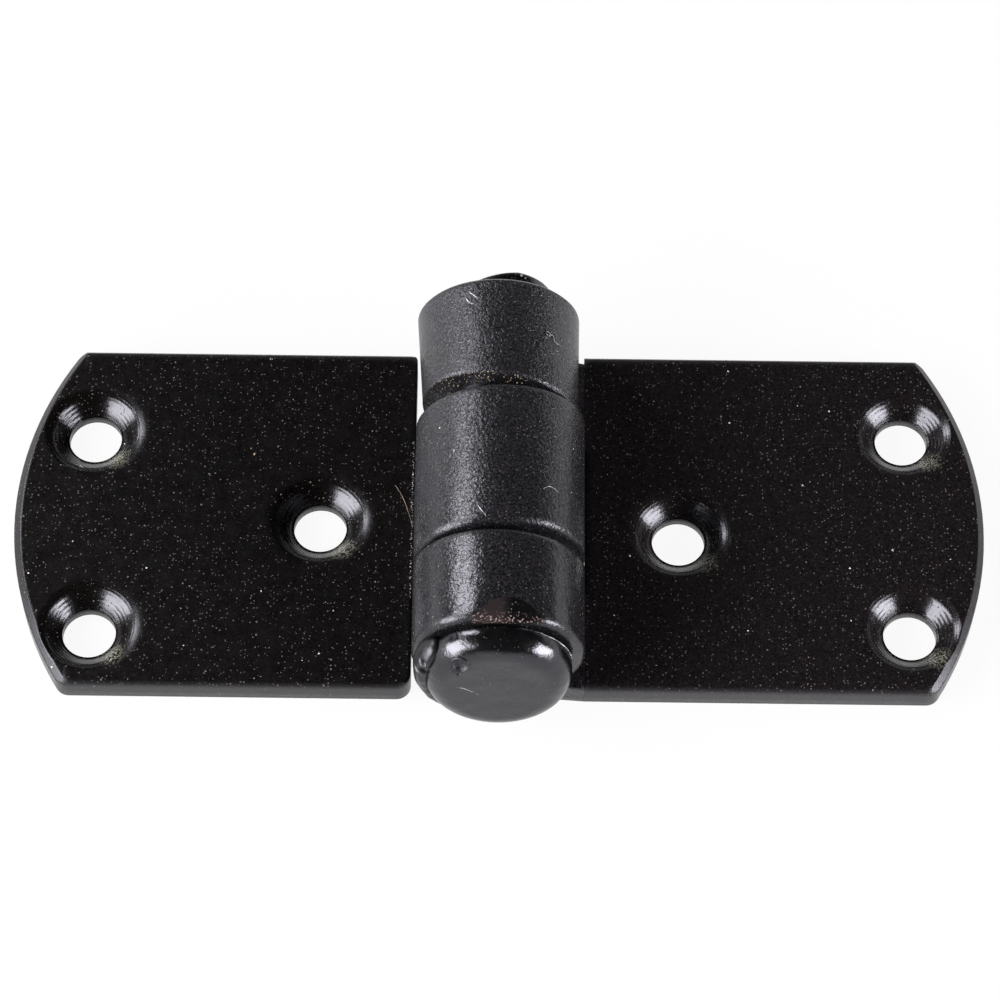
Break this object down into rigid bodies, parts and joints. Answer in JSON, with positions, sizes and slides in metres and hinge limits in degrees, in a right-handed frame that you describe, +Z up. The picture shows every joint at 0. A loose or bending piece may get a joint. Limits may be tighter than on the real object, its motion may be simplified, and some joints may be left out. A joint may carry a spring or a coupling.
{
  "type": "chest hinge",
  "caption": "Heavy butt-type chest hinge in black painted steel: leaves with rounded outer ends and countersunk screw holes, rolled knuckles and a headed pin.",
  "frame": {"origin": "on the surface that the leaves' backs lie on, under the middle of the pin and of the hinge's overall box", "axes": "+X along the two open leaves, +Y along the pin away from its head, +Z up from the leaves' backs to the countersunk faces"},
  "size_m": [0.1, 0.047, 0.0173],
  "materials": {
    "leaf_paint": "satin black paint over rolled steel, dusty, rubbed at the arrises",
    "pin_paint": "satin black paint over the pin's rounded head"
  },
  "bodies": {
    "fixed_side": {"right_leaf": "leaf_paint", "hinge_pin": "pin_paint"},
    "swinging_side": {"left_leaf": "leaf_paint"}
  },
  "joints": [
    {"name": "leaf_fold", "type": "hinge", "parent": "fixed_side", "child": "swinging_side", "pos_m": [0, 0, 0.00865], "axis": [0, 1, 0], "range_deg": [-90, 190]}
  ]
}
